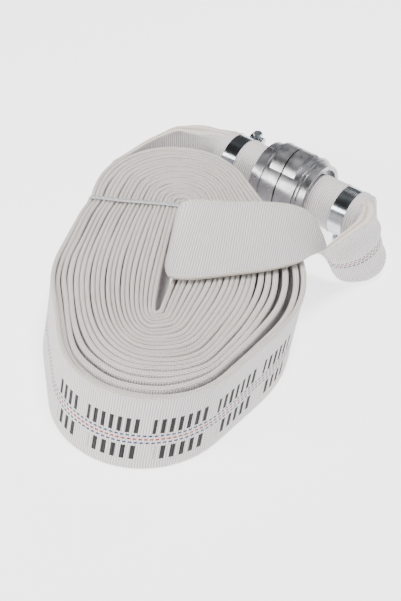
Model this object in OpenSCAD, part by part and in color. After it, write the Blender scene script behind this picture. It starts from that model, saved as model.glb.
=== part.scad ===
// Rolled fire hose: a woven lay-flat hose wound flat, with both ends joined by a claw coupling.
// The roll stands on its lower hose edges at z = 0. +Y runs along the roll's long axis, +Z is up.
// The coupling lies behind the roll. Its own axis is local Z, and its mating plane is local z = 0.

/* [Roll] */
// Height of the roll, which is the flat width of the hose
flat_width = 85; // [80:1:90]
// Radius of the roll's front end
front_radius = 102; // [90:1:120]
// Radius of the roll at its widest place
middle_radius = 136; // [125:1:138]
// Radius of the roll's back end
back_radius = 90; // [80:1:92]
// Width of the gap at the middle of the roll
core_gap = 7.5; // [7.5:0.5:12]
// Thickness of the flat hose
flat_thickness = 5.2; // [3.5:0.1:5.6]

/* [Tie strap] */
// Width of the tie strap
strap_width = 5; // [3:0.5:8]
// Thickness of the tie strap
strap_thickness = 0.6; // [0.4:0.1:1]

/* [Coupling] */
// Height of the coupling's axis above the ground
axis_height = 50; // [49.5:0.5:60]
// Radius of a claw head's body
head_radius = 43; // [42:0.5:45]
// Radius over the two grip lugs
lug_radius = 49; // [46:0.5:49]
// Radius of the collar behind each claw head
collar_radius = 40; // [38:0.5:41]
// Distance between the facing sides of two opposite claws
claw_distance = 66; // [65.6:0.1:66.4]
// Turn from locked to released
unlock_angle = 60; // [50:1:60]
// Radius of the waterway through each tailpiece
waterway_radius = 22.5; // [20:0.5:23]

/* [Hose ends] */
// Radius of the tailpiece that the hose is pushed over
tail_radius = 25.9; // [25.5:0.1:25.9]
// Thickness of the rubber lining
liner_thickness = 0.8; // [0.6:0.1:1]
// Outer radius of the woven jacket on the tail
jacket_radius = 29; // [28.6:0.1:29.2]

/* [Clamps] */
// Width of a clamp band
band_width = 18; // [14:1:20]
// Thickness of a clamp band
band_thickness = 0.8; // [0.6:0.1:1]
// Radius of the clamp bolt
bolt_radius = 3; // [2.5:0.5:3]

/* [Hidden] */
$fn = 96;
eps = 0.01;

canvas = [0.90, 0.88, 0.82];
aluminium = [0.70, 0.71, 0.73];
zinc = [0.62, 0.65, 0.68];
black_rubber = [0.10, 0.10, 0.11];

// Roll outline: three round stretches joined by their outer tangents
front_centre = [-15, -103];
middle_centre = [-5, -28];
back_centre = [-35, 101];
core_x = -20;
core_y = [-86, 84];
strap_y = 78;
strap_outer_x = -129.9;
strap_clearance = 0.3;
strap_groove = strap_thickness + 0.2;

// Coupling frame
coupling_centre = [96, 175, axis_height];
coupling_yaw = -30;

// Stations along one half of the coupling, measured from the mating plane
face_gap = 0.8;
flange_back = 7;
channel_back = 16;
bearing_back = 28;
lug_back = 17;
body_back = 22;
bead_back = 24.5;
collar_back = 37;
ring_width = 1.7;
shoulder_back = 32;
tail_end = 92;
hose_end = 98;
clamp_place = 78;

// Radii inside the coupling
running = 0.05;
spigot_radius = 30.5;
neck_radius = 28.5;
groove_radius = 26.9;
ring_outer = 31.5;
ring_gap = 6;
shoulder_radius = 28;
seal_depth = 4;
cup_radius = 35;
bead_radius = 44.5;
lug_curve = 30;
mark_width = 1.2;
channel_inner = claw_distance / 2 - 0.3;
channel_outer = head_radius - 2;
claw_inner = claw_distance / 2;
claw_stem = 36;
claw_outer = 40;
claw_play = 0.4;
claw_half_angle = 12;
claw_angle = 45;
mate_angle = claw_angle + 90;
hook_front = flange_back + 0.3;
claw_reach = 14;

// Clamp
band_inner = jacket_radius + 0.02;
band_outer = band_inner + band_thickness;
bridge_thickness = 0.55;
bridge_half_angle = 34;
gap_half_angle = 20;
barrel_radius = 3.9;
barrel_offset = 10.5;
barrel_place = band_outer + barrel_radius + 1.1;
loop_radius = barrel_radius + 0.1 + band_thickness;
bolt_head_height = 4.2;
bolt_head_radius = 5.8;
bolt_tip = 21;
bolt_window = 10;
barrel_bore = bolt_radius + 0.25;
nut_bore = bolt_radius + running;

// Clamp A's bolt stands upright on the far side, and clamp B's lies underneath
clamp_angle_a = -90;
clamp_angle_b = 0;

// Free hose between the roll's middle and the coupling: the two folded edges and half the thickness.
// The edge that lies to the front on top of the roll becomes the upper edge beside the roll.
flat_half = flat_thickness / 2;
inner_lead_first_edge = [
    [-20, -34, 46], [-20, -35, 66], [-20, -37, 84], [-16, -38, 92], [4, -38, 90], [24, -33, 89.5],
    [48, -28, 89.5], [74, -21, 89.5], [98, -11, 90], [116, -2, 92], [128, 8, 94], [137, 18, 92],
    [145, 29, 90], [151, 40, 88], [158, 52, 86], [166, 64, 85], [173, 75, 84], [178, 84, 83],
    [181, 92, 82], [182, 100, 81.5], [183, 108, 81]
];
inner_lead_second_edge = [
    [-20, 50, 46], [-20, 50, 68], [-20, 51, 88], [-18, 52, 104], [-4, 52, 116], [20, 50, 121],
    [50, 53, 121], [80, 60, 117], [103, 69, 108], [121, 79, 90], [135, 79, 64], [146, 73, 36],
    [157, 68, 14], [168, 69, 6], [181, 72, 5], [193, 78, 5], [201, 87, 7], [204, 95, 10],
    [203, 102, 14], [199, 108, 17], [191, 114, 19.5]
];
inner_lead_half_thickness = [
    flat_half, flat_half, flat_half, flat_half, 2.8, 3, 3, 3, 3, 3, 3, 3, 3.5, 4, 5, 6, 7.5, 9, 11, 13, 15
];

// Free hose between the roll's outside and the coupling: upper edge, lower edge, half the thickness
outer_lead_first_edge = [
    [-109, 161, 85], [-95, 176, 86], [-80, 189, 87], [-64, 201, 89], [-49, 210, 91], [-36, 216, 88],
    [-22, 222, 84], [-9, 226, 80.5]
];
outer_lead_second_edge = [
    [-110, 162, 1.5], [-96, 177, 1.5], [-81, 190, 2], [-66, 203, 3], [-52, 213, 6], [-38, 221, 12],
    [-23, 227, 17], [-9, 228, 19.5]
];
outer_lead_half_thickness = [flat_half, flat_half, 2.8, 3.5, 5, 9, 15, 21];
lead_sides = 12;

// Places something in the coupling's frame, with local X pointing down
module at_coupling() {
    translate(coupling_centre)
        rotate([0, 0, coupling_yaw])
            rotate([0, 90, 0])
                children();
}

// Half A is half B turned end for end
module half_a() {
    at_coupling()
        rotate([180, 0, 0])
            children();
}

module half_b() {
    at_coupling()
        children();
}

// Flat ring between two heights
module collar(inner, outer, low, high) {
    translate([0, 0, low])
        difference() {
            cylinder(r = outer, h = high - low);
            translate([0, 0, -eps])
                cylinder(r = inner, h = high - low + 2 * eps);
        }
}

// Piece of a flat ring around an angle
module arc_block(inner, outer, low, high, from_angle, to_angle) {
    intersection() {
        collar(inner, outer, low, high);
        rotate([0, 0, from_angle])
            rotate_extrude(angle = to_angle - from_angle)
                translate([inner - 2, low - 1])
                    square([outer - inner + 4, high - low + 2]);
    }
}

// Two circles and the stretch between their outer tangents
module tangent_pair(from_centre, from_radius, to_centre, to_radius) {
    span = to_centre - from_centre;
    heading = atan2(span[1], span[0]);
    taper = asin((from_radius - to_radius) / norm(span));
    right_way = heading - 90 + taper;
    left_way = heading + 90 - taper;
    translate(from_centre)
        circle(r = from_radius, $fn = 180);
    translate(to_centre)
        circle(r = to_radius, $fn = 180);
    polygon([
        from_centre + from_radius * [cos(right_way), sin(right_way)],
        to_centre + to_radius * [cos(right_way), sin(right_way)],
        to_centre + to_radius * [cos(left_way), sin(left_way)],
        from_centre + from_radius * [cos(left_way), sin(left_way)]
    ]);
}

module roll_outline() {
    tangent_pair(front_centre, front_radius, middle_centre, middle_radius);
    tangent_pair(middle_centre, middle_radius, back_centre, back_radius);
}

// The wound hose as one solid, with the gap at its middle and the strap's groove underneath
module hose_roll() {
    color(canvas)
        difference() {
            linear_extrude(height = flat_width)
                roll_outline();
            translate([core_x - core_gap / 2, core_y[0], -1])
                cube([core_gap, core_y[1] - core_y[0], flat_width + 2]);
            translate([strap_outer_x - 5, strap_y - strap_width, -1])
                cube([core_x - strap_outer_x + 5, 2 * strap_width, strap_groove + 1]);
        }
}

function middle_of(a, b) = (a + b) / 2;

function lead_heading(first, second, i) =
    let(
        last = len(first) - 1,
        before = max(i - 1, 0),
        after = min(i + 1, last),
        way = middle_of(first[after], second[after]) - middle_of(first[before], second[before])
    )
    way / norm(way);

function lead_ring(first, second, thick, i) =
    let(
        centre = middle_of(first[i], second[i]),
        across = (first[i] - second[i]) / 2,
        face = cross(lead_heading(first, second, i), across),
        lift = face / norm(face) * thick[i]
    )
    [for (k = [0 : lead_sides - 1]) centre + cos(360 * k / lead_sides) * across + sin(360 * k / lead_sides) * lift];

// Round ring where the free hose meets the end of the coupling's hose
function round_ring(station, turn) =
    let(
        sy = sin(coupling_yaw),
        cy = cos(coupling_yaw),
        centre = coupling_centre + station * [cy, sy, 0],
        level = turn * [-sy, cy, 0],
        upright = [0, 0, 1]
    )
    [for (k = [0 : lead_sides - 1])
        centre + jacket_radius * (cos(360 * k / lead_sides) * upright + sin(360 * k / lead_sides) * level)];

// Closed skin over a list of rings
module skin(rings) {
    count = len(rings);
    points = [for (ring = rings) each ring];
    sides = [for (i = [0 : count - 2]) for (k = [0 : lead_sides - 1])
        let(a = i * lead_sides + k, b = i * lead_sides + (k + 1) % lead_sides)
        for (face = [[a, b, b + lead_sides], [a, b + lead_sides, a + lead_sides]]) face];
    first_cap = [[for (k = [lead_sides - 1 : -1 : 0]) k]];
    last_cap = [[for (k = [0 : lead_sides - 1]) (count - 1) * lead_sides + k]];
    polyhedron(points = points, faces = concat(sides, first_cap, last_cap), convexity = 8);
}

module hose_inner_lead() {
    count = len(inner_lead_half_thickness);
    color(canvas)
        skin([
            for (i = [0 : count - 1])
                lead_ring(inner_lead_first_edge, inner_lead_second_edge, inner_lead_half_thickness, i),
            round_ring(hose_end, 1)
        ]);
}

module hose_outer_lead() {
    count = len(outer_lead_half_thickness);
    color(canvas)
        skin([
            for (i = [0 : count - 1])
                lead_ring(outer_lead_first_edge, outer_lead_second_edge, outer_lead_half_thickness, i),
            round_ring(-hose_end, -1)
        ]);
}

// Tape round one side of the roll: over the top, down the outside, under it and up through the middle
module tie_strap() {
    inner_end = core_x - core_gap / 2 + 1.2;
    top = flat_width + strap_clearance;
    color([0.75, 0.76, 0.76])
        translate([0, strap_y + strap_width / 2, 0])
            rotate([90, 0, 0])
                linear_extrude(height = strap_width)
                    difference() {
                        translate([strap_outer_x, 0])
                            square([inner_end - strap_outer_x, top + strap_thickness]);
                        translate([strap_outer_x + strap_thickness, strap_thickness])
                            square([inner_end - strap_outer_x - 2 * strap_thickness, top - strap_thickness]);
                    }
}

// Woven jacket on the tail, with a shallow bed for the clamp's bridge plate
module jacket_end(clamp_angle) {
    inner = tail_radius + 0.1 + liner_thickness + 0.02;
    color(canvas)
        difference() {
            collar(inner, jacket_radius, shoulder_back + 0.2, hose_end);
            rotate([0, 0, clamp_angle])
                arc_block(
                    jacket_radius - bridge_thickness - 0.05, jacket_radius + 1,
                    clamp_place - band_width / 2 - 0.2, clamp_place + band_width / 2 + 0.2,
                    -bridge_half_angle - 1, bridge_half_angle + 1
                );
        }
}

module liner_end() {
    inner = tail_radius + 0.1;
    color(black_rubber)
        collar(inner, inner + liner_thickness, shoulder_back + 0.2, hose_end);
}

// One claw: a stem through the facing head's slot and a hook behind its flange
module claw() {
    arc_block(claw_stem, claw_outer, -claw_reach, flange_back, -claw_half_angle, claw_half_angle);
    arc_block(claw_inner, claw_outer, -claw_reach, -hook_front, -claw_half_angle, claw_half_angle);
}

// Way for the facing head's claw: a narrow slot that ends in a full window
module claw_way() {
    released = mate_angle - unlock_angle;
    arc_block(
        claw_stem - claw_play, channel_outer, 0, flange_back + 1,
        released - claw_half_angle - 1.5, mate_angle + claw_half_angle + 1.5
    );
    arc_block(
        channel_inner, channel_outer, 0, flange_back + 1,
        released - claw_half_angle - 1.5, released + claw_half_angle + 2
    );
}

module lug_head() {
    color(aluminium) {
        difference() {
            union() {
                collar(spigot_radius + running, head_radius, face_gap, body_back + eps);
                collar(neck_radius + running, bead_radius, body_back, bead_back);
                collar(neck_radius + running, collar_radius, bead_back - eps, collar_back);
                for (side = [-1, 1])
                    translate([side * (lug_radius - lug_curve), 0, face_gap])
                        cylinder(r = lug_curve, h = lug_back - face_gap);
            }
            translate([0, 0, -eps])
                cylinder(r = spigot_radius + running, h = channel_back + 0.1 + eps);
            cylinder(r = neck_radius + running, h = collar_back + 1);
            translate([0, 0, bearing_back])
                cylinder(r = cup_radius, h = collar_back);
            collar(channel_inner, channel_outer, flange_back, channel_back);
            for (turn = [0, 180])
                rotate([0, 0, turn])
                    claw_way();
            // Scribed mark that shows the locked place
            rotate([0, 0, 180])
                translate([collar_radius - mark_width / 2, -mark_width / 2, bead_back + 2])
                    cube([2, mark_width, 9]);
        }
        for (turn = [0, 180])
            rotate([0, 0, claw_angle + turn])
                claw();
        neck_filler();
    }
}

// Wall between the bearing and the head's body behind the claw channel
module neck_filler() {
    collar(neck_radius + running, head_radius - 1, channel_back + 0.1, bearing_back);
}

module tailpiece() {
    ring_back = bearing_back + 0.2 + ring_width;
    rib_pitch = 6;
    color(aluminium)
        difference() {
            rotate_extrude()
                polygon([
                    [waterway_radius, face_gap], [spigot_radius, face_gap],
                    [spigot_radius, channel_back], [neck_radius, channel_back],
                    [neck_radius, bearing_back + 0.1], [groove_radius, bearing_back + 0.1],
                    [groove_radius, ring_back], [shoulder_radius, ring_back],
                    [shoulder_radius, shoulder_back], [tail_radius, shoulder_back],
                    [tail_radius, tail_end - 1], [tail_radius - 1, tail_end],
                    [waterway_radius, tail_end]
                ]);
            collar(waterway_radius + 1, neck_radius, 0, seal_depth);
            for (rib = [shoulder_back + rib_pitch : rib_pitch : tail_end - rib_pitch])
                collar(tail_radius - 0.7, tail_radius + 1, rib, rib + 2);
        }
}

// Open ring that keeps the claw head on its tailpiece
module snap_ring() {
    color(zinc)
        difference() {
            translate([0, 0, bearing_back + 0.15])
                collar(groove_radius + running, ring_outer, 0, ring_width);
            translate([0, -ring_gap / 2, bearing_back - 1])
                cube([ring_outer + 1, ring_gap, ring_width + 3]);
        }
}

module seal() {
    color(black_rubber)
        collar(waterway_radius + 1 + running, neck_radius - running, 0.1, seal_depth);
}

// Places something in a clamp's own frame: its bolt runs along Y at +X, with its head at +Y
module at_clamp(clamp_angle) {
    rotate([0, 0, clamp_angle])
        translate([0, 0, clamp_place])
            rotate([180, 0, 0])
                children();
}

module clamp_band() {
    half = band_width / 2;
    loop_x = barrel_place;
    difference() {
        union() {
            arc_block(band_inner, band_outer, -half, half, gap_half_angle, 360 - gap_half_angle);
            for (side = [-1, 1]) {
                translate([loop_x, side * barrel_offset, 0])
                    collar(barrel_radius + 0.1, loop_radius, -half, half);
                clamp_strap(side);
            }
        }
        // Window for the bolt
        translate([loop_x - bolt_window, -30, -bolt_window / 2])
            cube([2 * bolt_window, 60, bolt_window]);
    }
}

// Straight stretch of the band that leaves the hose and meets a loop as its tangent
module clamp_strap(side) {
    foot = band_outer - band_thickness / 2;
    start = foot * [cos(gap_half_angle), sin(gap_half_angle)];
    to_loop = [barrel_place, barrel_offset] - start;
    turn_in = loop_radius - band_thickness / 2 - running;
    way_angle = atan2(to_loop[1], to_loop[0]) + asin(turn_in / norm(to_loop));
    way = [cos(way_angle), sin(way_angle)];
    finish = start + sqrt(pow(norm(to_loop), 2) - pow(turn_in, 2)) * way;
    off = band_thickness / 2 * [-way[1], way[0]];
    mirror([0, side < 0 ? 1 : 0, 0])
        translate([0, 0, -band_width / 2])
            linear_extrude(height = band_width)
                polygon([start - off, finish - off, finish + off, start + off]);
}

module clamp_bridge() {
    half = band_width / 2;
    arc_block(jacket_radius - bridge_thickness, jacket_radius, -half, half, -bridge_half_angle, bridge_half_angle);
}

module clamp_bolt() {
    head_seat = barrel_offset + barrel_radius + band_thickness + 0.6;
    translate([barrel_place, 0, 0])
        rotate([90, 0, 0]) {
            translate([0, 0, -head_seat])
                cylinder(r = bolt_radius, h = head_seat + bolt_tip);
            translate([0, 0, -head_seat - bolt_head_height])
                cylinder(r = bolt_head_radius, h = bolt_head_height, $fn = 6);
        }
}

// Cross pin that the bolt passes through
module clamp_pin(side, hole_radius) {
    half = band_width / 2;
    difference() {
        translate([barrel_place, side * barrel_offset, -half])
            cylinder(r = barrel_radius, h = band_width);
        translate([barrel_place, side * barrel_offset, 0])
            rotate([90, 0, 0])
                cylinder(r = hole_radius, h = 2 * barrel_radius + 2, center = true);
    }
}

module lug_head_a() {
    half_a() lug_head();
}

module lug_head_b() {
    half_b() lug_head();
}

module tailpiece_a() {
    half_a() tailpiece();
}

module tailpiece_b() {
    half_b() tailpiece();
}

module snap_ring_a() {
    half_a() snap_ring();
}

module snap_ring_b() {
    half_b() snap_ring();
}

module seal_a() {
    half_a() seal();
}

module seal_b() {
    half_b() seal();
}

module jacket_end_a() {
    half_a() jacket_end(clamp_angle_a);
}

module jacket_end_b() {
    half_b() jacket_end(clamp_angle_b);
}

module liner_end_a() {
    half_a() liner_end();
}

module liner_end_b() {
    half_b() liner_end();
}

module in_clamp_a() {
    color(zinc)
        half_a() at_clamp(clamp_angle_a) children();
}

module in_clamp_b() {
    color(zinc)
        half_b() at_clamp(clamp_angle_b) children();
}

module clamp_band_a() {
    in_clamp_a() clamp_band();
}

module clamp_band_b() {
    in_clamp_b() clamp_band();
}

module clamp_bridge_a() {
    in_clamp_a() clamp_bridge();
}

module clamp_bridge_b() {
    in_clamp_b() clamp_bridge();
}

module clamp_bolt_a() {
    in_clamp_a() clamp_bolt();
}

module clamp_bolt_b() {
    in_clamp_b() clamp_bolt();
}

module clamp_barrel_a() {
    in_clamp_a() clamp_pin(1, barrel_bore);
}

module clamp_barrel_b() {
    in_clamp_b() clamp_pin(1, barrel_bore);
}

module clamp_nut_a() {
    in_clamp_a() clamp_pin(-1, nut_bore);
}

module clamp_nut_b() {
    in_clamp_b() clamp_pin(-1, nut_bore);
}

hose_roll();
hose_inner_lead();
hose_outer_lead();
tie_strap();
jacket_end_a();
jacket_end_b();
liner_end_a();
liner_end_b();
lug_head_a();
lug_head_b();
tailpiece_a();
tailpiece_b();
snap_ring_a();
snap_ring_b();
seal_a();
seal_b();
clamp_band_a();
clamp_band_b();
clamp_bridge_a();
clamp_bridge_b();
clamp_bolt_a();
clamp_bolt_b();
clamp_barrel_a();
clamp_barrel_b();
clamp_nut_a();
clamp_nut_b();
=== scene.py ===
"""Rolled fire hose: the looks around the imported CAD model.

Everything is in metres, in the CAD model's frame.
"""

import math

import bmesh
import bpy
import numpy as np
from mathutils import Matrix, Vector


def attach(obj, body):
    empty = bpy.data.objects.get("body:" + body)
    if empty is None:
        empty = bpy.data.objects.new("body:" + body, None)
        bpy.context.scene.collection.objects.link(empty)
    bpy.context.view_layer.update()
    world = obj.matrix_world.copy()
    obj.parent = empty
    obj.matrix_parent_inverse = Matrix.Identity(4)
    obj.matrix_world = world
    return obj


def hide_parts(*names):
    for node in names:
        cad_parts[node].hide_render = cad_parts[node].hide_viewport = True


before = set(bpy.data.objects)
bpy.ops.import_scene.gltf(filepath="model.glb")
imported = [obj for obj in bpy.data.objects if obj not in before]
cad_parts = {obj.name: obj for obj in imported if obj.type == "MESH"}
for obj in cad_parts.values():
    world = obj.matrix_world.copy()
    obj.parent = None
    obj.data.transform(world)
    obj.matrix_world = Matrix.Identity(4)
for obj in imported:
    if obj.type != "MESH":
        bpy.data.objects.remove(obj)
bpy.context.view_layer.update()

MM = 0.001
TURN = 2 * math.pi

# Coupling frame, as in the CAD model
COUPLING_CENTRE = np.array([96, 175, 50]) * MM
COUPLING_YAW = math.radians(-30)
COUPLING_AXIS = np.array([math.cos(COUPLING_YAW), math.sin(COUPLING_YAW), 0])
LEVEL = np.array([-COUPLING_AXIS[1], COUPLING_AXIS[0], 0])
UPRIGHT = np.array([0.0, 0.0, 1.0])
HOSE_END = 98 * MM
SHOULDER = 32.4 * MM
CLAMP_PLACE = 78 * MM
BAND_HALF = 9 * MM
JACKET_RADIUS = 29 * MM

# Roll: the flat hose's width and half of its thickness
FLAT_WIDTH = 85 * MM
NOMINAL_HALF = 2.8 * MM
# Distance over one face of the hose, from one folded edge to the other
FACE_WIDTH = 88 * MM
# Circles that the outside and the slit are stretched round, from the back to the front: centre and radius
OUTSIDE = [((-35, 101), 87.4), ((-5, -28), 133.4), ((-15, -103), 99.4)]
CORE = [((-20, 80), 4.2), ((-17, -15), 7.0), ((-20, -83), 3.0)]
TURNS = 21
# One ring of the mesh comes after this length, or after this much bend in radians
RING_STEP = 6.5 * MM
RING_BEND = 0.2
# Direction from the back circle's centre in which the outer end leaves
LEAVE_ANGLE = math.radians(140)
# How far the outermost turn's lower edge stands out from under its upper one
LEAN = np.array([-12, -20]) * MM
STRAP_Y = 78 * MM
# Plain bars printed on the outermost turn: how far before its end they start and stop
PRINT_FROM_END = (620 * MM, 330 * MM)
# Across the hose from and to, one bar's pitch, a group's pitch and the part of it with bars
PRINT_ROWS = [(26 * MM, 43 * MM, 8.4 * MM, 67.2 * MM, 0.80), (58 * MM, 74 * MM, 9.6 * MM, 67.2 * MM, 0.72)]
BAR_SHARE = 0.50


# ---------------------------------------------------------------- camera

SENSOR_WIDTH = 36
LENS = 67.2
CAMERA_PLACE = (0.1426, -0.8629, 0.8910)
CAMERA_TARGET = (0.0158, -0.0239, 0.0425)


def facing(place, target):
    """Rotation that points a camera or a light at place towards target."""
    return (Vector(target) - Vector(place)).to_track_quat("-Z", "Y").to_euler()


def make_camera():
    data = bpy.data.cameras.new("camera")
    data.sensor_width = SENSOR_WIDTH
    data.lens = LENS
    camera = bpy.data.objects.new("camera", data)
    bpy.context.scene.collection.objects.link(camera)
    camera.location = CAMERA_PLACE
    camera.rotation_euler = facing(CAMERA_PLACE, CAMERA_TARGET)
    bpy.context.scene.camera = camera


# ---------------------------------------------------------------- small tools

def wobble(x, seed, octaves=3):
    """Smooth seeded noise of one value or an array, about -1 to 1."""
    rng = np.random.RandomState(seed)
    total = 0.0
    for octave in range(octaves):
        rate = (1.0 + 0.37 * octave + 0.5 * rng.rand()) * 1.7 ** octave
        total = total + np.sin(TURN * (rate * x + rng.rand())) / 1.5 ** octave
    return total / 1.8


def smooth_step(low, high, x):
    """0 at low, 1 at high and a soft step between, also where low is the greater one."""
    t = np.clip((np.asarray(x, float) - low) / (high - low), 0, 1)
    return t * t * (3 - 2 * t)


def bump_at(x, centre, width):
    """1 at the centre, falling to nothing over about twice the width on both sides."""
    return np.exp(-((np.asarray(x, float) - centre) / width) ** 2)


def through(points, per_span):
    """Catmull-Rom curve through the points, with per_span samples in each span."""
    points = np.array(points, float)
    if points.ndim == 1:
        points = points[:, None]
    padded = np.vstack([2 * points[0] - points[1], points, 2 * points[-1] - points[-2]])
    samples = []
    for i in range(len(points) - 1):
        a, b, c, d = padded[i:i + 4]
        for t in np.arange(per_span) / per_span:
            samples.append(0.5 * (
                2 * b + (c - a) * t + (2 * a - 5 * b + 4 * c - d) * t ** 2 + (3 * b - a - 3 * c + d) * t ** 3
            ))
    samples.append(points[-1])
    return np.array(samples)


def unit(v):
    """Vectors of length 1 along the last axis."""
    v = np.asarray(v, float)
    return v / np.maximum(np.linalg.norm(v, axis=-1, keepdims=True), 1e-12)


def skin(name, rings, uv_u=None, uv_v=None, caps=True):
    """Mesh over closed rings (rings x sides x 3). uv_u is per ring, uv_v is rings x (sides + 1)."""
    rings = np.asarray(rings, float)
    count, sides = rings.shape[:2]
    verts = rings.reshape(-1, 3)
    faces = []
    corners = []
    for i in range(count - 1):
        for k in range(sides):
            m = (k + 1) % sides
            faces.append((i * sides + k, i * sides + m, (i + 1) * sides + m, (i + 1) * sides + k))
            corners.append(((i, k), (i, k + 1), (i + 1, k + 1), (i + 1, k)))
    if caps:
        faces.append(tuple(range(sides - 1, -1, -1)))
        corners.append(tuple((0, k) for k in range(sides - 1, -1, -1)))
        faces.append(tuple((count - 1) * sides + k for k in range(sides)))
        corners.append(tuple((count - 1, k) for k in range(sides)))
    mesh = bpy.data.meshes.new(name)
    mesh.from_pydata([tuple(v) for v in verts], [], faces)
    mesh.polygons.foreach_set("use_smooth", [True] * len(faces))
    if uv_u is not None:
        layer = mesh.uv_layers.new(name="hose")
        flat = np.array([(uv_u[i], uv_v[i][k]) for face in corners for i, k in face], np.float32)
        layer.data.foreach_set("uv", flat.ravel())
    mesh.validate()
    mesh.update()
    piece = bpy.data.objects.new(name, mesh)
    bpy.context.scene.collection.objects.link(piece)
    fix_normals(piece)
    return piece


def fix_normals(piece):
    """Turns all the faces outwards."""
    work = bmesh.new()
    work.from_mesh(piece.data)
    bmesh.ops.recalc_face_normals(work, faces=work.faces)
    work.to_mesh(piece.data)
    work.free()


def hand_over(piece, body, material, slot, *nodes):
    """Gives a piece its material and puts it on its body, in place of the CAD nodes. The slot is not used."""
    piece.data.materials.clear()
    piece.data.materials.append(material)
    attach(piece, body)
    if nodes:
        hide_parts(*nodes)


# ---------------------------------------------------------------- node helpers

class Nodes:
    """Short forms for building a material's node tree."""

    def __init__(self, name):
        self.material = bpy.data.materials.new(name)
        self.material.use_nodes = True
        self.tree = self.material.node_tree
        self.shader = self.tree.nodes["Principled BSDF"]

    def node(self, kind, **settings):
        made = self.tree.nodes.new(kind)
        for key, value in settings.items():
            setattr(made, key, value)
        return made

    def put(self, socket, value):
        if isinstance(value, bpy.types.NodeSocket):
            self.tree.links.new(value, socket)
        else:
            socket.default_value = value

    def math(self, operation, a, b=0.0, c=0.0):
        made = self.node("ShaderNodeMath", operation=operation)
        for socket, value in zip(made.inputs, (a, b, c)):
            self.put(socket, value)
        return made.outputs[0]

    def span(self, value, low, high, to_low=0.0, to_high=1.0, smooth=True):
        made = self.node("ShaderNodeMapRange", interpolation_type="SMOOTHSTEP" if smooth else "LINEAR")
        keys = ("Value", "From Min", "From Max", "To Min", "To Max")
        for key, x in zip(keys, (value, low, high, to_low, to_high)):
            self.put(made.inputs[key], x)
        return made.outputs["Result"]

    def noise(self, vector, scale, detail=2.0, roughness=0.5):
        made = self.node("ShaderNodeTexNoise")
        self.put(made.inputs["Vector"], vector)
        made.inputs["Scale"].default_value = scale
        made.inputs["Detail"].default_value = detail
        made.inputs["Roughness"].default_value = roughness
        return made.outputs["Fac"]

    def mix(self, fac, a, b):
        made = self.node("ShaderNodeMix", data_type="RGBA")
        self.put(made.inputs[0], fac)
        self.put(made.inputs[6], a)
        self.put(made.inputs[7], b)
        return made.outputs[2]

    def combine(self, x, y, z=0.0):
        made = self.node("ShaderNodeCombineXYZ")
        for socket, value in zip(made.inputs, (x, y, z)):
            self.put(socket, value)
        return made.outputs[0]

    def bump(self, height, distance, strength=1.0, normal=None):
        made = self.node("ShaderNodeBump")
        self.put(made.inputs["Height"], height)
        made.inputs["Distance"].default_value = distance
        made.inputs["Strength"].default_value = strength
        if normal is not None:
            self.put(made.inputs["Normal"], normal)
        return made.outputs["Normal"]


# Pitches of the weave on the flat of the hose and of the knit along its folded edges
RIB_PITCH = 2.6 * MM
WARP_PITCH = 1.3 * MM
LOOP_PITCH = 2.5 * MM
ROW_PITCH = 1.7 * MM
# Distance from the folded edge over which the knit gives way to the flat weave
KNIT_FADE = (2.6 * MM, 4.2 * MM)
# How far the threads waver from a straight line
WAVER = 0.9 * MM
WEAVE_DEPTH = 1.0 * MM
FUZZ_DEPTH = 0.12 * MM
# Threads in the light, and the painted shade in the hollows between them, on the flat and on the folded edges
FLAT_THREAD = (0.86, 0.83, 0.835, 1)
FLAT_PAINTED_SHADE = (0.45, 0.41, 0.41, 1)
EDGE_THREAD = (0.97, 0.915, 0.86, 1)
EDGE_PAINTED_SHADE = (0.50, 0.405, 0.32, 1)
# Painted highlight on the tops of the knit loops
EDGE_PAINTED_HIGHLIGHT = (1.0, 0.975, 0.94, 1)
WORN_PATCH = (0.78, 0.71, 0.62, 1)
FUZZ = (0.93, 0.92, 0.90, 1)
# Tracer lines: distance of the middle one from the top edge, pitch of the dashes and gap between the lines
TRACER_PLACE = 50 * MM
DASH_PITCH = 5.5 * MM
LINE_GAP = 4.2 * MM
TRACER_BLUE = (0.002, 0.008, 0.10, 1)
TRACER_RED = (0.34, 0.0, 0.012, 1)
INK = (0.005, 0.005, 0.006, 1)


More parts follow.
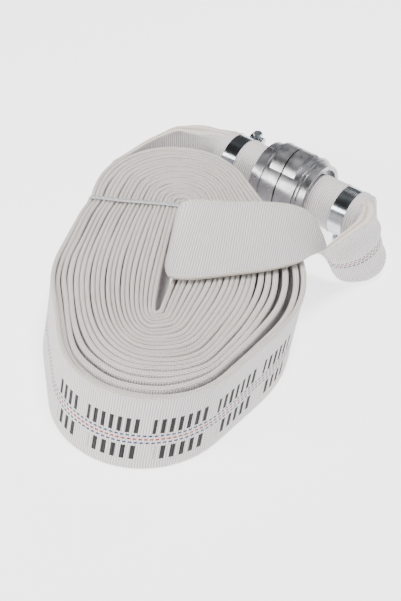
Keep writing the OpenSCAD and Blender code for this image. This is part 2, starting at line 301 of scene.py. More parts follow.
def canvas(name, stripes="none", print_end=None):
    """Woven jacket. The UV map holds metres along the hose (x) and across it from a folded edge (y)."""
    n = Nodes(name)
    uv = n.node("ShaderNodeUVMap", uv_map="hose").outputs["UV"]
    split = n.node("ShaderNodeSeparateXYZ")
    n.put(split.inputs[0], uv)
    along, across = split.outputs[0], split.outputs[1]
    place = n.node("ShaderNodeTexCoord").outputs["Object"]
    waver = n.math("MULTIPLY", n.math("SUBTRACT", n.noise(place, 90.0), 0.5), WAVER)
    along_w = n.math("ADD", along, waver)
    side = n.math("ABSOLUTE", across)
    from_edge = n.math("MINIMUM", side, n.math("SUBTRACT", FACE_WIDTH, side))
    edge = n.span(from_edge, *KNIT_FADE, 1.0, 0.0)

    # Weft ribs across the flat of the hose, and the finer warp over them
    rib_wave = n.math("SINE", n.math("MULTIPLY", along_w, math.pi / RIB_PITCH))
    rib = n.math("ABSOLUTE", rib_wave)
    warp = n.math("SINE", n.math("MULTIPLY", across, TURN / WARP_PITCH))
    weave = n.math("MULTIPLY", warp, rib_wave)
    flat_height = n.math("ADD", n.math("MULTIPLY", rib, 0.8), n.math("MULTIPLY", weave, 0.2))

    # Knit along the folded edge: staggered rows of small loops
    row = n.math("FLOOR", n.math("DIVIDE", across, ROW_PITCH))
    stagger = n.math("MULTIPLY", row, 0.5)
    loop_phase = n.math("ADD", n.math("DIVIDE", along_w, LOOP_PITCH), stagger)
    loop = n.math("ABSOLUTE", n.math("SINE", n.math("MULTIPLY", loop_phase, math.pi)))
    row_hump = n.math("ABSOLUTE", n.math("SINE", n.math("MULTIPLY", across, math.pi / ROW_PITCH)))
    knit_height = n.math("MULTIPLY", n.math("POWER", loop, 0.7), n.math("POWER", row_hump, 0.6))

    flat_share = n.math("MULTIPLY", flat_height, n.math("SUBTRACT", 1.0, edge))
    knit_share = n.math("MULTIPLY", knit_height, n.math("MULTIPLY", edge, 1.3))
    height = n.math("ADD", flat_share, knit_share)
    fuzz = n.noise(place, 1400.0, 3.0, 0.6)
    patches = n.noise(place, 22.0, 3.0, 0.55)
    # Painted highlight: the knit loops' tops, where their height is greatest, are coloured paler
    crest_highlight = n.span(knit_height, 0.45, 0.95)

    # Painted shade: the colour darkens into the hollows between the ribs and between the knit loops
    flat_colour = n.mix(n.span(flat_height, 0.0, 0.75), FLAT_PAINTED_SHADE, FLAT_THREAD)
    edge_colour = n.mix(n.span(knit_height, 0.02, 0.50), EDGE_PAINTED_SHADE, EDGE_THREAD)
    edge_colour = n.mix(n.math("MULTIPLY", crest_highlight, 0.8), edge_colour, EDGE_PAINTED_HIGHLIGHT)
    colour = n.mix(edge, flat_colour, edge_colour)
    colour = n.mix(n.span(patches, 0.45, 0.75, 0.0, 0.20), colour, WORN_PATCH)
    colour = n.mix(n.span(fuzz, 0.35, 0.7, 0.0, 0.16), colour, FUZZ)
    if stripes != "none":
        colour = tracer_lines(n, colour, along, across, stripes)
    if print_end is not None:
        colour = print_marks(n, colour, along, across, print_end)
    n.put(n.shader.inputs["Base Color"], colour)
    n.put(n.shader.inputs["Roughness"], n.span(fuzz, 0.2, 0.8, 0.78, 0.94))
    n.shader.inputs["Specular IOR Level"].default_value = 0.22
    n.shader.inputs["Sheen Weight"].default_value = 0.12
    n.shader.inputs["Sheen Roughness"].default_value = 0.5
    fine = n.bump(fuzz, FUZZ_DEPTH, 0.35)
    n.put(n.shader.inputs["Normal"], n.bump(height, WEAVE_DEPTH, 1.0, fine))
    return n.material


def tracer_lines(n, colour, along, across, side):
    """Three dashed lines, blue, red and blue, woven into one face of the hose."""
    centre = TRACER_PLACE if side == "outer" else -TRACER_PLACE
    for place, thread in ((-1, TRACER_BLUE), (0, TRACER_RED), (1, TRACER_BLUE)):
        off = n.math("ABSOLUTE", n.math("SUBTRACT", across, centre + place * LINE_GAP))
        line = n.span(off, 0.75 * MM, 1.15 * MM, 1.0, 0.0)
        phase = n.math("FRACT", n.math("ADD", n.math("DIVIDE", along, DASH_PITCH), 0.31 * place))
        dash = n.span(n.math("ABSOLUTE", n.math("SUBTRACT", phase, 0.5)), 0.28, 0.35, 0.97, 0.0)
        colour = n.mix(n.math("MULTIPLY", line, dash), colour, thread)
    return colour


def print_marks(n, colour, along, across, end):
    """Two rows of plain black bars on the front of the outermost turn."""
    start, stop = end - PRINT_FROM_END[0], end - PRINT_FROM_END[1]
    inside = n.math("MULTIPLY", n.math("GREATER_THAN", along, start), n.math("LESS_THAN", along, stop))
    for low, high, bar_pitch, group_pitch, group_share in PRINT_ROWS:
        row = n.math("MULTIPLY", n.math("GREATER_THAN", across, low), n.math("LESS_THAN", across, high))
        bar = n.math("LESS_THAN", n.math("FRACT", n.math("DIVIDE", along, bar_pitch)), BAR_SHARE)
        group = n.math("LESS_THAN", n.math("FRACT", n.math("DIVIDE", along, group_pitch)), group_share)
        ink = n.math("MULTIPLY", n.math("MULTIPLY", bar, group), n.math("MULTIPLY", row, inside))
        colour = n.mix(n.math("MULTIPLY", ink, 0.98), colour, INK)
    return colour


# ---------------------------------------------------------------- roll

# Shares of the way round at which each round or straight stretch of the oval ends
STRETCH_ENDS = [0.0, 0.22, 0.36, 0.42, 0.49, 0.70, 0.76, 0.83, 0.94, 1.0]


def oval_point(u, tau):
    """Point and outward normal of the winding's oval: u from 0 at the slit to 1 at the outside,
    tau from 0 to 1 clockwise seen from above, from the place where the outer end leaves."""
    rings = [
        ((1 - u) * np.array(core) * MM + u * np.array(centre) * MM, (1 - u) * core_r * MM + u * radius * MM)
        for (core, core_r), (centre, radius) in zip(CORE, OUTSIDE)
    ]
    sides = []
    for (c, r), (next_c, next_r) in zip(rings, rings[1:]):
        reach = c - next_c
        heading = math.atan2(reach[1], reach[0])
        taper = math.asin((next_r - r) / np.hypot(*reach))
        sides.append((heading - math.pi / 2 + taper, heading + math.pi / 2 - taper))
    (right_back, left_back), (right_front, left_front) = sides
    back, middle, front = rings
    leave = min(LEAVE_ANGLE, left_back - 0.05)
    stretches = [
        (back, leave, back, right_back), (back, right_back, middle, right_back),
        (middle, right_back, middle, right_front), (middle, right_front, front, right_front),
        (front, right_front, front, left_front - TURN), (front, left_front, middle, left_front),
        (middle, left_front, middle, left_back), (middle, left_back, back, left_back),
        (back, left_back, back, leave),
    ]
    index = min(int(np.searchsorted(STRETCH_ENDS, tau, side="right")) - 1, len(stretches) - 1)
    (c0, r0), a0, (c1, r1), a1 = stretches[index]
    share = (tau - STRETCH_ENDS[index]) / (STRETCH_ENDS[index + 1] - STRETCH_ENDS[index])
    angle = a0 + (a1 - a0) * share
    normal = np.array([math.cos(angle), math.sin(angle)])
    return (1 - share) * c0 + share * c1 + ((1 - share) * r0 + share * r1) * normal, normal


PER_TURN = 360
# Half thickness of a turn at its thinnest and thickest, and the clearance that it keeps
HALF_RANGE = (1.9 * MM, 3.1 * MM)
TURN_CLEARANCE = 0.12 * MM
# Samples that the centre line is smoothed over: close to the slit, further out, along the sides, and at last
SLIT_SMOOTHING = 15
ROUND_SMOOTHING = 47
SIDE_SMOOTHING = 95
LAST_SMOOTHING = 7
NORMAL_SMOOTHING = 41
HALF_SMOOTHING = 31
# How far the tie strap draws the outermost turn in
PINCH = 2.6 * MM


def winding():
    """Centre line of the wound hose from the slit outwards, with the half thickness, the turn
    and the length so far at each of its points."""
    per_turn = PER_TURN
    total = TURNS * per_turn + 1
    s = np.arange(total) / per_turn
    weight = 1 + 0.20 * wobble(s * 1.31, 3) + 0.10 * wobble(s * 3.3, 5)
    tau = s % 1.0
    outside = TURNS - s
    # The last turns stand off on the right-hand side, with a dark gap behind them
    right_side = smooth_step(0.30, 0.42, tau) * (1 - smooth_step(0.46, 0.60, tau))
    weight = weight + 0.15 * right_side * bump_at(outside, 1.9, 0.42)
    weight = weight + 0.45 * bump_at(tau, 0.60, 0.1) * bump_at(outside, 2.5, 0.6)
    level = np.zeros(total)
    level[:per_turn] = s[:per_turn] * 0.9
    for i in range(per_turn, total):
        level[i] = level[i - per_turn] + weight[i]
    last = level[-per_turn - 1:]
    full = last[1:] + weight[-1] * (1 - np.arange(1, per_turn + 1) / per_turn)
    top = np.concatenate([full[-1:], full])[np.arange(total) % per_turn]
    u = np.clip(level / top, 0, 1)
    points = np.zeros((total, 2))
    normals = np.zeros((total, 2))
    for i in range(total):
        points[i], normals[i] = oval_point(u[i], tau[i])
    # The turns bend softly along the sides and more sharply round the two ends of the slit
    soft = smooth_step(0.50, 0.58, tau) * (1 - smooth_step(0.93, 0.99, tau))
    soft = np.maximum(soft, smooth_step(0.22, 0.29, tau) * (1 - smooth_step(0.45, 0.51, tau)))
    inside = 1 - smooth_step(0.62, 0.99, u)
    soft = soft * inside
    rounder = smooth_step(0.08, 0.30, u)[:, None]
    round_ends = smoothed(points, SLIT_SMOOTHING) * (1 - rounder)
    round_ends = round_ends + smoothed(points, ROUND_SMOOTHING) * rounder
    round_ends = round_ends * inside[:, None] + points * (1 - inside)[:, None]
    points = round_ends * (1 - soft)[:, None] + smoothed(points, SIDE_SMOOTHING) * soft[:, None]
    points = smoothed(points, LAST_SMOOTHING)
    normals = unit(smoothed(normals, NORMAL_SMOOTHING))
    # The tie strap draws the outer turns in
    pinch = bump_at(points[:, 1], STRAP_Y, 16 * MM) * smooth_step(-0.06, -0.125, points[:, 0])
    points[:, 0] += PINCH * pinch
    inner_gap = np.full(total, 5 * MM)
    inner_gap[per_turn:] = np.abs(((points[per_turn:] - points[:-per_turn]) * normals[per_turn:]).sum(1))
    outer_gap = np.append(inner_gap[per_turn:], np.full(per_turn, 6 * MM))
    half = 0.5 * np.minimum(inner_gap, outer_gap) - TURN_CLEARANCE
    open_places = np.clip(wobble(s * 2.7, 41) - 0.45, 0, 1)
    half = np.clip(half * (1 - 0.30 * open_places), *HALF_RANGE)
    half = smoothed(half, HALF_SMOOTHING)
    length = np.concatenate([[0], np.cumsum(np.linalg.norm(np.diff(points, axis=0), axis=1))])
    heading = unit(np.gradient(points, axis=0))
    bend = np.linalg.norm(np.gradient(heading, axis=0), axis=1)
    rings = np.cumsum(np.gradient(length) / RING_STEP + bend / RING_BEND)
    at = np.interp(np.linspace(rings[0], rings[-1], int(rings[-1])), rings, length)
    x = np.interp(at, length, points[:, 0])
    y = np.interp(at, length, points[:, 1])
    return np.stack([x, y], 1), np.interp(at, length, half), np.interp(at, length, s), at


def smoothed(values, width):
    """Running mean of an odd number of rows, weighted to the middle one."""
    kernel = np.hanning(width + 2)[1:-1]
    kernel = kernel / kernel.sum()
    rows = values if values.ndim == 2 else values[:, None]
    padded = np.pad(rows, ((width // 2, width // 2), (0, 0)), mode="edge")
    result = np.stack([np.convolve(padded[:, c], kernel, mode="valid") for c in range(rows.shape[1])], 1)
    return result if values.ndim == 2 else result[:, 0]


# Half of the flat hose's section: height from the middle (1 is the folded edge), share of the half thickness
SECTION = [
    (1.0, 0.0), (0.995, 0.46), (0.982, 0.80), (0.96, 0.96), (0.925, 1.0), (0.87, 0.95), (0.76, 0.84),
    (0.45, 0.76), (0.0, 0.74), (-0.45, 0.76), (-0.76, 0.84), (-0.87, 0.95), (-0.925, 1.0), (-0.96, 0.96),
    (-0.982, 0.80), (-0.995, 0.46), (-1.0, 0.0),
]


def make_roll():
    """The whole winding as one flat hose, and its length."""
    line, half, s, at = winding()
    heading = unit(np.gradient(line, axis=0))
    outward = np.stack([-heading[:, 1], heading[:, 0]], 1)
    outer = SECTION
    inner = SECTION[-2:0:-1]
    rise = np.array([p[0] for p in outer] + [p[0] for p in inner])
    depth = np.array([p[1] for p in outer] + [-p[1] for p in inner])
    sides = len(rise)
    rings = np.zeros((len(line), sides, 3))
    outside = TURNS - s
    front = smooth_step(0.02, -0.08, line[:, 1])
    top = FLAT_WIDTH - 1.1 * MM + 0.7 * MM * wobble(s * 1.9, 11) + 0.5 * MM * wobble(np.floor(s) * 0.37, 13)
    # The outermost turn stands a little proud at the front, and the next one lies lower
    top = top + 1.3 * MM * front * bump_at(outside, 0.5, 0.5) - 3.4 * MM * front * bump_at(outside, 1.5, 0.42)
    top = top - 1.2 * MM * bump_at(line[:, 1], STRAP_Y, 9 * MM) * smooth_step(-0.02, -0.05, line[:, 0])
    bottom = 0.35 * MM + 0.3 * MM * (1 + wobble(s * 2.3, 17))
    middle = (top + bottom) / 2
    tall = (top - bottom) / 2
    drift = 0.35 * MM * wobble(at / 0.09, 23)
    lean_share = 0.1 + 0.9 * smooth_step(-0.3, 1.0, s / TURNS)
    for k in range(sides):
        z = middle + tall * rise[k]
        sway = drift * (1 - abs(rise[k]))
        swing = (1 - z / FLAT_WIDTH) * lean_share
        reach = half * depth[k] + sway
        rings[:, k, 0] = line[:, 0] + outward[:, 0] * reach + LEAN[0] * swing
        rings[:, k, 1] = line[:, 1] + outward[:, 1] * reach + LEAN[1] * swing
        rings[:, k, 2] = z
    # Distance over the section from the top edge, for the map
    flat = np.array([(FLAT_WIDTH / 2 * (1 - r), NOMINAL_HALF * d) for r, d in SECTION])
    over = np.concatenate([[0], np.cumsum(np.linalg.norm(np.diff(flat, axis=0), axis=1))])
    over = over * (FACE_WIDTH / over[-1])
    v = np.concatenate([over, -over[-2:0:-1], [0.0]])
    piece = skin("wound_hose", rings, at, np.tile(v, (len(line), 1)))
    fix_edge_map(piece)
    return piece, at[-1]


# ---------------------------------------------------------------- free hose

# Folded edges of the two free ends from the roll to the coupling, first the one that ends on top of it,
# with the half thickness between them, in mm
INNER_FIRST = [
    [-20, 14, 46], [-20.5, 8, 70], [-21, -4, 85], [-20, -24, 89], [-16, -40, 91.5], [-12, -43.5, 91],
    [6, -42.5, 90], [28, -36, 89.5], [52, -28, 89.5], [76, -20, 89.5], [98, -11, 90], [116, -2, 92],
    [128, 8, 94], [137, 18, 92], [145, 29, 90], [151, 40, 88], [158, 52, 86], [166, 64, 85],
    [173, 75, 84], [178, 84, 83], [181, 92, 82], [182, 100, 81.5], [183, 108, 81],
]
INNER_SECOND = [
    [-20, 52, 46], [-20, 50, 70], [-20.5, 50, 88], [-20, 51, 100], [-15, 51, 110], [-3, 51, 117],
    [14, 50, 120], [32, 50, 121], [54, 53, 120.5], [80, 60, 117], [103, 69, 108], [121, 79, 90],
    [135, 79, 64], [146, 73, 36], [157, 68, 14], [168, 69, 6], [181, 72, 5], [193, 78, 5],
    [201, 87, 7], [204, 95, 10], [203, 102, 14], [199, 108, 17], [191, 114, 19.5],
]
INNER_HALF = [2.5, 2.5, 2.6, 2.6, 2.8, 2.8, 3, 3, 3, 3, 3, 3, 3, 3, 3.5, 4, 5, 6, 7.5, 9, 11, 13, 15]
OUTER_FIRST = [
    [-112, 146, 84], [-103, 157, 84.5], [-92, 171, 85.5], [-79, 187, 87], [-64, 200, 89], [-49, 210, 91.5],
    [-36, 216, 88], [-22, 222, 84], [-9, 226, 80.5],
]
OUTER_SECOND = [
    [-124, 126, 1], [-114, 139, 1], [-99, 162, 1.5], [-82, 186, 2], [-66, 202, 3], [-52, 213, 6],
    [-38, 221, 12], [-23, 227, 17], [-9, 228, 19.5],
]
OUTER_HALF = [2.6, 2.6, 2.8, 3, 3.5, 5, 9, 15, 21]
LEAD_SIDES = 56
PER_SPAN = 12


def free_hose(name, first, second, half, end_station, shape):
    """Loft between the two folded edges that ends as a round tube on the coupling's hose."""
    end = COUPLING_CENTRE + end_station * COUPLING_AXIS
    up = end + JACKET_RADIUS * UPRIGHT
    down = end - JACKET_RADIUS * UPRIGHT
    a = through(np.vstack([np.array(first) * MM, up]), PER_SPAN)
    b = through(np.vstack([np.array(second) * MM, down]), PER_SPAN)
    h = through(np.append(np.array(half) * MM, JACKET_RADIUS), PER_SPAN)[:, 0]
    count = len(a)
    t = np.linspace(0, 1, count)
    middle = (a + b) / 2
    across = (a - b) / 2
    heading = unit(np.gradient(middle, axis=0))
    axis_way = -np.sign(end_station) * COUPLING_AXIS
    settle = smooth_step(0.90, 1.0, t)[:, None]
    heading = unit(heading * (1 - settle) + axis_way * settle)
    face = unit(np.cross(heading, across))
    roundness = smooth_step(4 * MM, 24 * MM, h)
    phi = TURN * np.arange(LEAD_SIDES) / LEAD_SIDES
    rings = np.zeros((count, LEAD_SIDES, 3))
    for k, angle in enumerate(phi):
        c, sn = math.cos(angle), math.sin(angle)
        power = 2 + 7 * (1 - roundness)
        lift = np.sign(sn) * (1 - np.minimum(abs(c), 1) ** power) ** (1 / power)
        if abs(sn) < 1e-9:
            lift = 0 * h
        waist = 1 - 0.22 * (1 - roundness) * (1 - c ** 6)
        point = middle + c * across + (lift * waist * h)[:, None] * face
        rings[:, k] = point
    rings = shape(rings, t, phi, face)
    travel = np.concatenate([[0], np.cumsum(np.linalg.norm(np.diff(middle, axis=0), axis=1))])
    share = np.array([(1 - math.cos(p)) / 2 if p <= math.pi else -(1 - math.cos(p)) / 2 for p in phi] + [0.0])
    v = np.tile(share * FACE_WIDTH, (count, 1))
    piece = skin(name, rings, travel, v)
    fix_edge_map(piece)
    return piece


def fix_edge_map(piece):
    """Puts the faces that close a ring at its bottom edge wholly on one side of the map."""
    layer = piece.data.uv_layers["hose"].data
    for polygon in piece.data.polygons:
        values = [layer[i].uv[1] for i in polygon.loop_indices]
        if len(values) == 4 and min(values) < -0.001 and max(values) > FACE_WIDTH / 2:
            for i in polygon.loop_indices:
                if layer[i].uv[1] > 0:
                    layer[i].uv[1] = -FACE_WIDTH


# Soft creases and hollows of the inner end, in mm: two points seen from above, height range,
# height of the crease and its width
STRIP_CREASES = [
    ((-4, -20), (52, 28), (84, 130), 1.6, 6.0), ((8, -26), (60, 14), (84, 130), -1.1, 5.0),
    ((30, 18), (84, 44), (84, 130), 1.2, 8.0), ((60, -10), (100, 22), (84, 130), -1.4, 7.0),
    ((-18, -4), (-12, -36), (80, 130), 1.6, 3.5), ((90, 30), (118, 52), (80, 125), 1.5, 6.0),
]


def crease(points, start, stop, width):
    """Share of a crease between two points seen from above, fading at its ends."""
    start, stop = np.array(start) * MM, np.array(stop) * MM
    way = stop - start
    along = ((points[..., :2] - start) @ way) / (way @ way)
    off = (points[..., 0] - start[0]) * way[1] - (points[..., 1] - start[1]) * way[0]
    off = off / np.linalg.norm(way)
    fade = smooth_step(-0.15, 0.15, along) * (1 - smooth_step(0.85, 1.15, along))
    return bump_at(off, 0, width * MM) * fade


def folds(rings, pull, phi, face, waves):
    """Soft folds where the hose is drawn together. A wave is its height in mm, its number and its phase."""
    for k, angle in enumerate(phi):
        ripple = sum(size * math.sin(number * angle + phase) for size, number, phase in waves)
        rings[:, k] = rings[:, k] + (pull * ripple * MM * math.sin(angle))[:, None] * face
    return rings


def shape_inner(rings, t, phi, face):
    for start, stop, (low, high), lift, width in STRIP_CREASES:
        share = crease(rings, start, stop, width)
        share = share * (rings[..., 2] > low * MM) * (rings[..., 2] < high * MM)
        rings = rings + (lift * MM * share)[..., None] * UPRIGHT
    # The stretch beside the roll is drawn into soft folds
    pull = smooth_step(0.60, 0.70, t) * (1 - smooth_step(0.93, 0.99, t))
    return folds(rings, pull, phi, face, ((1.3, 5, 0.6), (0.9, 9, 2.0)))


def shape_outer(rings, t, phi, face):
    pull = smooth_step(0.45, 0.62, t) * (1 - smooth_step(0.90, 0.99, t))
    return folds(rings, pull, phi, face, ((1.2, 6, 1.0), (0.8, 10, 0.0)))


def hose_on_tail(name, side):
    """Hose on a coupling's tail: slack between the collar and the clamp, pressed in under the band."""
    stations = np.linspace(SHOULDER, HOSE_END, 60)
    count, sides = len(stations), 72
    rings = np.zeros((count, sides, 3))
    off_band = np.abs(stations - CLAMP_PLACE) - BAND_HALF
    for i, station in enumerate(stations):
        centre = COUPLING_CENTRE + side * station * COUPLING_AXIS
        swell = 1.1 * MM * bump_at(off_band[i], 3 * MM, 2.6 * MM) * (off_band[i] > 0)
        inset = -0.25 * MM * (off_band[i] <= 0)
        lip = -0.8 * MM * bump_at(station, SHOULDER, 1.5 * MM)
        for k in range(sides):
            angle = TURN * k / sides
            fade = smooth_step(HOSE_END, HOSE_END - 8 * MM, station)
            pleat = 0.25 * MM * (off_band[i] > 0) * float(wobble(angle / TURN * 3, 31 + int(side > 0)))
            radius = JACKET_RADIUS + (swell + inset + lip + pleat) * fade
            rings[i, k] = centre + radius * (math.cos(angle) * UPRIGHT + math.sin(angle) * LEVEL)
    around = np.linspace(0, TURN * JACKET_RADIUS, sides + 1)
    v = np.tile(45 * MM + 30 * MM * np.cos(around / JACKET_RADIUS), (count, 1))
    return skin(name, rings, stations, v)


# ---------------------------------------------------------------- tie strap

TAPE_WIDTH = 5.2 * MM
TAPE_THICKNESS = 0.5 * MM
# The tape's crossings of the slit and the outside, seen from the front, in mm
TAPE_INNER_X = -22.4
TAPE_OUTER_X = -127.4


def make_strap():
    """Tape over the top, down the leaning outside, back under the roll and up through the slit."""
    path = []
    top = FLAT_WIDTH + 0.2 * MM
    for x in np.linspace(TAPE_INNER_X, -120, 60):
        ripple = 0.45 * MM * math.sin(x * TURN / 5.6)
        path.append((x * MM, top + ripple))
    path += [(-123.5 * MM, top - 0.2 * MM), (-125.8 * MM, top - 1.8 * MM), (-127 * MM, top - 4.5 * MM)]
    for z in np.linspace(76, 6, 24):
        path.append((TAPE_OUTER_X * MM + LEAN[0] * (1 - z / 85), z * MM))
    path += [(-138.6 * MM, 2.2 * MM), (-137 * MM, 0.8 * MM), (-134 * MM, 0.35 * MM)]
    for x in np.linspace(-120, -28, 14):
        path.append((x * MM, 0.3 * MM))
    path += [(-25 * MM, 0.8 * MM), (-23.2 * MM, 3 * MM), (-22.6 * MM, 20 * MM)]
    path += [(TAPE_INNER_X * MM, 60 * MM), (TAPE_INNER_X * MM, 83 * MM)]
    path = np.array(path)
    way = unit(np.gradient(path, axis=0))
    off = np.stack([-way[:, 1], way[:, 0]], 1)
    rings = []
    for (x, z), (ox, oz), i in zip(path, off, range(len(path))):
        y = STRAP_Y + 0.5 * MM * math.sin(i * 0.11)
        shift = LEAN[1] * (1 - z / FLAT_WIDTH) * smooth_step(-0.10, -0.125, x)
        ring = []
        for across, lift in ((-1, 0), (-0.96, 1), (0.96, 1), (1, 0), (0.96, -1), (-0.96, -1)):
            ring.append((
                x - ox * lift * TAPE_THICKNESS / 2,
                y + shift + across * TAPE_WIDTH / 2,
                max(z - oz * lift * TAPE_THICKNESS / 2, 0.02 * MM),
            ))
        rings.append(ring)
    return skin("tie_tape", np.array(rings))


# ---------------------------------------------------------------- other materials

def tape_material():
    n = Nodes("tape")
    place = n.node("ShaderNodeTexCoord").outputs["Object"]
    streaks = n.noise(place, 260.0, 3.0)
    colour = n.mix(n.span(streaks, 0.35, 0.65), (0.56, 0.55, 0.565, 1), (0.70, 0.69, 0.70, 1))
    n.put(n.shader.inputs["Base Color"], colour)
    n.put(n.shader.inputs["Roughness"], n.span(streaks, 0.3, 0.7, 0.28, 0.42))
    n.shader.inputs["Transmission Weight"].default_value = 0.25
    n.put(n.shader.inputs["Normal"], n.bump(streaks, 0.1 * MM, 0.4))
    return n.material


def axis_place(n):
    """Object coordinates turned so that X runs along the coupling."""
    place = n.node("ShaderNodeTexCoord").outputs["Object"]
    turned = n.node("ShaderNodeVectorRotate", rotation_type="Z_AXIS")
    n.put(turned.inputs["Vector"], place)
    turned.inputs["Angle"].default_value = -COUPLING_YAW
    return turned.outputs[0]


def metal(name, light, dark, rough_low, rough_high, rings=0.4, scuffs=0.5, scratched=0.25):
    """Metal with turning marks round the coupling's axis, scuffs and dull patches."""
    n = Nodes(name)
    place = axis_place(n)
    stretched = n.node("ShaderNodeMapping")
    n.put(stretched.inputs["Vector"], place)
    stretched.inputs["Scale"].default_value = (1.0, 0.03, 0.03)
    turning = n.noise(stretched.outputs[0], 2600.0, 2.0)
    patches = n.noise(place, 70.0, 4.0, 0.6)
    scratch_map = n.node("ShaderNodeMapping")
    n.put(scratch_map.inputs["Vector"], place)
    scratch_map.inputs["Rotation"].default_value = (0.3, 0.5, 0.7)
    scratch_map.inputs["Scale"].default_value = (1.0, 0.08, 1.0)
    scratches = n.noise(scratch_map.outputs[0], 900.0, 3.0, 0.7)
    marks = n.span(scratches, 0.60, 0.72)
    colour = n.mix(n.span(patches, 0.35, 0.7), light, dark)
    colour = n.mix(n.math("MULTIPLY", marks, scuffs), colour, tuple(0.55 * c for c in dark[:3]) + (1,))
    n.put(n.shader.inputs["Base Color"], colour)
    n.shader.inputs["Metallic"].default_value = 1.0
    rough = n.span(patches, 0.3, 0.7, rough_low, rough_high)
    n.put(n.shader.inputs["Roughness"], n.math("ADD", rough, n.math("MULTIPLY", marks, 0.4 * scratched)))
    first = n.bump(turning, 0.05 * MM, rings)
    n.put(n.shader.inputs["Normal"], n.bump(scratches, 0.05 * MM, scratched, first))
    return n.material


def rubber_material():
    n = Nodes("rubber")
    place = n.node("ShaderNodeTexCoord").outputs["Object"]
    grain = n.noise(place, 800.0, 3.0)
    n.put(n.shader.inputs["Base Color"], n.mix(grain, (0.018, 0.018, 0.019, 1), (0.045, 0.044, 0.043, 1)))
    n.put(n.shader.inputs["Roughness"], n.span(grain, 0.3, 0.7, 0.5, 0.7))
    n.put(n.shader.inputs["Normal"], n.bump(grain, 0.1 * MM, 0.3))
    return n.material


def finish_metal_nodes():
    aluminium = metal("coupling_aluminium", (0.40, 0.40, 0.42, 1), (0.32, 0.32, 0.34, 1), 0.26, 0.40)
    tail = metal("tail_aluminium", (0.60, 0.60, 0.62, 1), (0.44, 0.44, 0.46, 1), 0.26, 0.42)
    zinc = metal("zinc_steel", (0.50, 0.54, 0.58, 1), (0.45, 0.49, 0.53, 1), 0.16, 0.20, 0.1, 0.04, 0.04)
    bolt = metal("bolt_steel", (0.50, 0.53, 0.56, 1), (0.36, 0.38, 0.41, 1), 0.24, 0.38, 0.2, 0.3)
    spring = metal("spring_steel", (0.42, 0.42, 0.43, 1), (0.30, 0.30, 0.31, 1), 0.32, 0.5)
    rubber = rubber_material()
    for end in "ab":
        dress("lug_head_" + end, aluminium, 0.5)
        dress("tailpiece_" + end, tail, 0.3)
        dress("snap_ring_" + end, spring, 0.15)
        dress("seal_" + end, rubber, 0.2)
        dress("liner_end_" + end, rubber, 0.0)
        dress("clamp_band_" + end, zinc, 0.15)
        dress("clamp_bridge_" + end, zinc, 0.0)
        dress("clamp_bolt_" + end, bolt, 0.3)
        dress("clamp_barrel_" + end, bolt, 0.3)
        dress("clamp_nut_" + end, bolt, 0.3)


def dress(node, material, bevel):
    """Gives a CAD node its material, and rounded edges where bevel, in mm, isn't 0."""
    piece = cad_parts[node]
    for slot in piece.material_slots:
        slot.material = material
    if bevel:
        edge = piece.modifiers.new("soft_edges", "BEVEL")
        edge.width = bevel * MM
        edge.segments = 2
        edge.limit_method = "ANGLE"
        edge.angle_limit = math.radians(38)
        edge.harden_normals = False


# ---------------------------------------------------------------- stage

FLOOR_HALF = 12.0
FLOOR_STEPS = 24
FLOOR_GLOW = 1.9
WORLD_STRENGTH = 0.85
# Grey cards: direction, where they start and are full, and the part of the light that they leave
CARDS = [((-0.62, -0.17, 0.766), 0.62, 0.90, 0.03), ((0.05, 0.80, 0.60), 0.60, 0.93, 0.10)]
# Lights: name, place, target, size, power and colour
LIGHTS = [
    ("key", (-1.4, -0.9, 0.85), (0, 0, 0.05), 1.0, 38, (1.0, 0.985, 0.96)),
    ("top", (0.3, 0.1, 1.9), (0, 0, 0.05), 0.5, 44, (1.0, 0.99, 0.975)),
    ("back", (0.6, 1.3, 1.2), (0.05, 0.1, 0.05), 0.7, 8, (1.0, 1.0, 1.0)),
]


def make_stage():
    mesh = bpy.data.meshes.new("floor")
    steps = FLOOR_STEPS
    row = steps + 1
    marks = [(i / steps - 0.5) * 2 * FLOOR_HALF for i in range(row)]
    verts = [(x, y, 0) for y in marks for x in marks]
    faces = [
        (j * row + i, j * row + i + 1, (j + 1) * row + i + 1, (j + 1) * row + i)
        for j in range(steps) for i in range(steps)
    ]
    mesh.from_pydata(verts, [], faces)
    floor = bpy.data.objects.new("floor", mesh)
    bpy.context.scene.collection.objects.link(floor)
    n = Nodes("floor")
    place = n.node("ShaderNodeTexCoord").outputs["Object"]
    colour = n.mix(n.noise(place, 3.0), (0.93, 0.93, 0.93, 1), (0.96, 0.96, 0.96, 1))
    n.put(n.shader.inputs["Base Color"], colour)
    n.shader.inputs["Roughness"].default_value = 0.9
    n.shader.inputs["Specular IOR Level"].default_value = 0.1
    n.shader.inputs["Emission Color"].default_value = (1, 1, 1, 1)
    n.shader.inputs["Emission Strength"].default_value = FLOOR_GLOW
    mesh.materials.append(n.material)


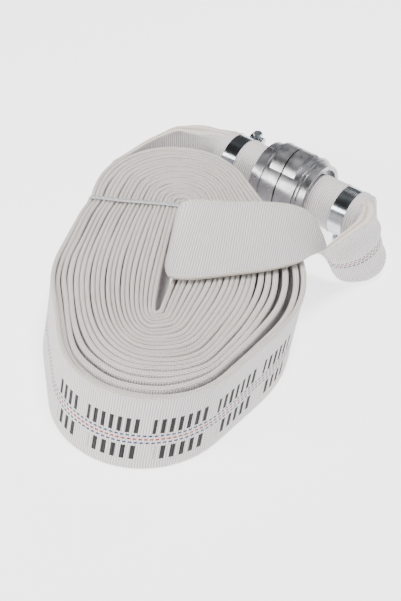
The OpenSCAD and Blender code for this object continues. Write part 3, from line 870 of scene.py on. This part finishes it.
def make_lights():
    world = bpy.data.worlds.new("world")
    world.use_nodes = True
    background = world.node_tree.nodes["Background"]
    background.inputs["Color"].default_value = (1.0, 1.0, 1.0, 1)
    # Two grey cards in the white surroundings give the metal something to mirror
    tree = world.node_tree
    way = tree.nodes.new("ShaderNodeTexCoord").outputs["Generated"]
    strength = WORLD_STRENGTH
    for card_way, low, high, share in CARDS:
        towards = tree.nodes.new("ShaderNodeVectorMath")
        towards.operation = "DOT_PRODUCT"
        tree.links.new(way, towards.inputs[0])
        towards.inputs[1].default_value = card_way
        card = tree.nodes.new("ShaderNodeMapRange")
        card.interpolation_type = "SMOOTHSTEP"
        tree.links.new(towards.outputs["Value"], card.inputs["Value"])
        for key, x in (("From Min", low), ("From Max", high), ("To Min", 1.0), ("To Max", share)):
            card.inputs[key].default_value = x
        product = tree.nodes.new("ShaderNodeMath")
        product.operation = "MULTIPLY"
        tree.links.new(card.outputs["Result"], product.inputs[0])
        if isinstance(strength, float):
            product.inputs[1].default_value = strength
        else:
            tree.links.new(strength, product.inputs[1])
        strength = product.outputs[0]
    tree.links.new(strength, background.inputs["Strength"])
    bpy.context.scene.world = world
    for name, place, target, size, power, colour in LIGHTS:
        data = bpy.data.lights.new(name, "AREA")
        data.size = size
        data.energy = power
        data.color = colour
        light = bpy.data.objects.new(name, data)
        light.location = place
        light.rotation_euler = facing(place, target)
        bpy.context.scene.collection.objects.link(light)


# ---------------------------------------------------------------- scene

make_camera()
lead_canvas = canvas("lead_canvas", "outer")
plain_canvas = canvas("plain_canvas")

wound, wound_length = make_roll()
wound_canvas = canvas("wound_canvas", "outer", wound_length)
hand_over(wound, "root", wound_canvas, "hose_canvas", "hose_roll")
inner = free_hose("inner_end_hose", INNER_FIRST, INNER_SECOND, INNER_HALF, HOSE_END, shape_inner)
hand_over(inner, "root", lead_canvas, "hose_canvas", "hose_inner_lead")
outer = free_hose("outer_end_hose", OUTER_FIRST, OUTER_SECOND, OUTER_HALF, -HOSE_END, shape_outer)
hand_over(outer, "root", canvas("outer_canvas", "inner"), "hose_canvas", "hose_outer_lead")
hand_over(hose_on_tail("tail_hose_a", -1), "root", plain_canvas, "hose_canvas", "jacket_end_a")
hand_over(hose_on_tail("tail_hose_b", 1), "root", plain_canvas, "hose_canvas", "jacket_end_b")
hand_over(make_strap(), "root", tape_material(), "tie_tape", "tie_strap")
finish_metal_nodes()
make_stage()
make_lights()
